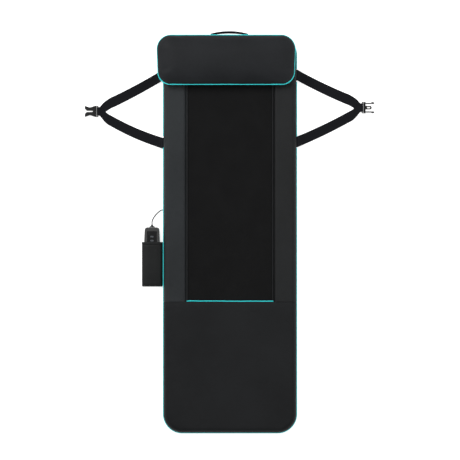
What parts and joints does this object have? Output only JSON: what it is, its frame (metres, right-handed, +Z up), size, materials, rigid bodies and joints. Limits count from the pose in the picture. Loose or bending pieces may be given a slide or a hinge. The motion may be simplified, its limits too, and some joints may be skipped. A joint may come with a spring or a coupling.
{
  "type": "heated massage mat",
  "caption": "Full-length padded heated massage mat that folds, with mesh back panel, lift-off head pillow, buckled side straps, carry handle and wired handset in a side pocket.",
  "frame": {"origin": "centre of the mat's underside, on the floor", "axes": "+Z up, +Y towards the head end, +X to the right of a person lying on the mat"},
  "size_m": [1.2397, 1.718, 0.1213],
  "materials": {
    "leather": "satin, fine grain",
    "piping": "satin",
    "foam": "matte",
    "foil": "satin",
    "carbon_sheet": "matte",
    "webbing": "matte weave",
    "black_plastic": "satin",
    "handset_plastic": "satin",
    "rubber": "matte",
    "wiring": "matte",
    "steel": "satin",
    "mesh": "matte mesh",
    "circuit_board": "matte"
  },
  "bodies": {
    "back_section": {"back_base_cover": "leather", "back_fold_gusset": "leather", "controller_pocket": "leather", "head_panel": "leather", "left_side_panel": "leather", "right_side_panel": "leather", "mesh_welt": "leather", "back_edge_piping": "piping", "cross_piping": "piping", "back_foam_core": "foam", "back_reflective_liner": "foil", "back_heating_sheet": "carbon_sheet", "pillow_loop_strip": "webbing", "power_inlet": "black_plastic", "thermostat": "black_plastic", "cord_grommet": "rubber", "back_wiring_loom": "wiring", "vibration_motor_1": "steel", "vibration_motor_2": "steel", "vibration_motor_3": "steel", "vibration_motor_4": "steel", "mesh_panel": "mesh"},
    "leg_section": {"leg_base_cover": "leather", "foot_panel": "leather", "leg_edge_piping": "piping", "leg_foam_core": "foam", "leg_heating_sheet": "carbon_sheet", "leg_wiring_loom": "wiring", "leg_reflective_liner": "foil", "leg_fold_gusset": "leather", "vibration_motor_5": "steel", "vibration_motor_6": "steel"},
    "pillow": {"pillow_top_panel": "leather", "pillow_back_panel": "leather", "pillow_foam": "foam", "pillow_piping": "piping", "pillow_hook_strip": "webbing"},
    "left_strap": {"left_strap": "webbing"},
    "right_strap": {"right_strap": "webbing"},
    "socket": {"buckle_socket": "black_plastic"},
    "plug": {"buckle_plug": "black_plastic"},
    "upper_prong": {"upper_prong": "black_plastic"},
    "lower_prong": {"lower_prong": "black_plastic"},
    "handle": {"carry_handle": "webbing"},
    "handset": {"handset_front_shell": "handset_plastic", "handset_back_shell": "handset_plastic", "handset_keypad_plate": "black_plastic", "handset_circuit_board": "circuit_board", "handset_strain_relief": "rubber", "handset_cord": "rubber"},
    "key_1": {"key_1": "rubber"},
    "key_2": {"key_2": "rubber"},
    "key_3": {"key_3": "rubber"},
    "key_4": {"key_4": "rubber"},
    "weight_1": {"eccentric_weight_1": "steel"},
    "weight_2": {"eccentric_weight_2": "steel"},
    "weight_3": {"eccentric_weight_3": "steel"},
    "weight_4": {"eccentric_weight_4": "steel"},
    "weight_5": {"eccentric_weight_5": "steel"},
    "weight_6": {"eccentric_weight_6": "steel"}
  },
  "joints": [
    {"name": "leg_fold", "type": "hinge", "parent": "back_section", "child": "leg_section", "pos_m": [0, -0.287, 0.0515], "axis": [-1, 0, 0], "range_deg": [0, 180]},
    {"name": "pillow_lift", "type": "slide", "parent": "back_section", "child": "pillow", "axis": [0, 0, 1], "range_m": [0, 0.12]},
    {"name": "left_strap_lift", "type": "hinge", "parent": "back_section", "child": "left_strap", "pos_m": [-0.2882, 0.527, 0.02155], "axis": [0, 1, 0], "range_deg": [0, 90]},
    {"name": "right_strap_lift", "type": "hinge", "parent": "back_section", "child": "right_strap", "pos_m": [0.2882, 0.543, 0.02155], "axis": [0, -1, 0], "range_deg": [0, 90]},
    {"name": "socket_turn", "type": "hinge", "parent": "left_strap", "child": "socket", "pos_m": [-0.566, 0.527, 0.006], "axis": [0, 1, 0], "range_deg": [0, 90]},
    {"name": "plug_turn", "type": "hinge", "parent": "right_strap", "child": "plug", "pos_m": [0.566, 0.543, 0.006], "axis": [0, -1, 0], "range_deg": [0, 90]},
    {"name": "upper_prong_flex", "type": "hinge", "parent": "plug", "child": "upper_prong", "pos_m": [0.58, 0.5615, 0.006], "axis": [0, 0, -1], "range_deg": [0, 7], "stiffness_Nm_per_rad": 0.08},
    {"name": "lower_prong_flex", "type": "hinge", "parent": "plug", "child": "lower_prong", "pos_m": [0.58, 0.5245, 0.006], "axis": [0, 0, -1], "range_deg": [-7, 0], "stiffness_Nm_per_rad": 0.08},
    {"name": "handle_swing", "type": "hinge", "parent": "back_section", "child": "handle", "pos_m": [-0.003, 0.8545, 0.025], "axis": [1, 0, 0], "range_deg": [-60, 80]},
    {"name": "handset_slide", "type": "slide", "parent": "back_section", "child": "handset", "axis": [0, 1, 0], "range_m": [0, 0.13], "deforming": ["handset_cord"]},
    {"name": "key_1_press", "type": "slide", "parent": "handset", "child": "key_1", "axis": [0, 0, -1], "range_m": [0, 0.0012], "stiffness_N_per_m": 400},
    {"name": "key_2_press", "type": "slide", "parent": "handset", "child": "key_2", "axis": [0, 0, -1], "range_m": [0, 0.0012], "stiffness_N_per_m": 400},
    {"name": "key_3_press", "type": "slide", "parent": "handset", "child": "key_3", "axis": [0, 0, -1], "range_m": [0, 0.0012], "stiffness_N_per_m": 400},
    {"name": "key_4_press", "type": "slide", "parent": "handset", "child": "key_4", "axis": [0, 0, -1], "range_m": [0, 0.0012], "stiffness_N_per_m": 400},
    {"name": "weight_1_spin", "type": "hinge", "parent": "back_section", "child": "weight_1", "pos_m": [-0.075, 0.43, 0.022], "axis": [1, 0, 0], "continuous": true},
    {"name": "weight_2_spin", "type": "hinge", "parent": "back_section", "child": "weight_2", "pos_m": [0.075, 0.43, 0.022], "axis": [1, 0, 0], "continuous": true},
    {"name": "weight_3_spin", "type": "hinge", "parent": "back_section", "child": "weight_3", "pos_m": [-0.075, 0.06, 0.022], "axis": [1, 0, 0], "continuous": true},
    {"name": "weight_4_spin", "type": "hinge", "parent": "back_section", "child": "weight_4", "pos_m": [0.075, 0.06, 0.022], "axis": [1, 0, 0], "continuous": true},
    {"name": "weight_5_spin", "type": "hinge", "parent": "leg_section", "child": "weight_5", "pos_m": [-0.075, -0.56, 0.022], "axis": [1, 0, 0], "continuous": true},
    {"name": "weight_6_spin", "type": "hinge", "parent": "leg_section", "child": "weight_6", "pos_m": [0.075, -0.56, 0.022], "axis": [1, 0, 0], "continuous": true}
  ],
  "couplings": [
    {"joint": "lower_prong_flex", "follows": "upper_prong_flex", "ratio": -1}
  ]
}
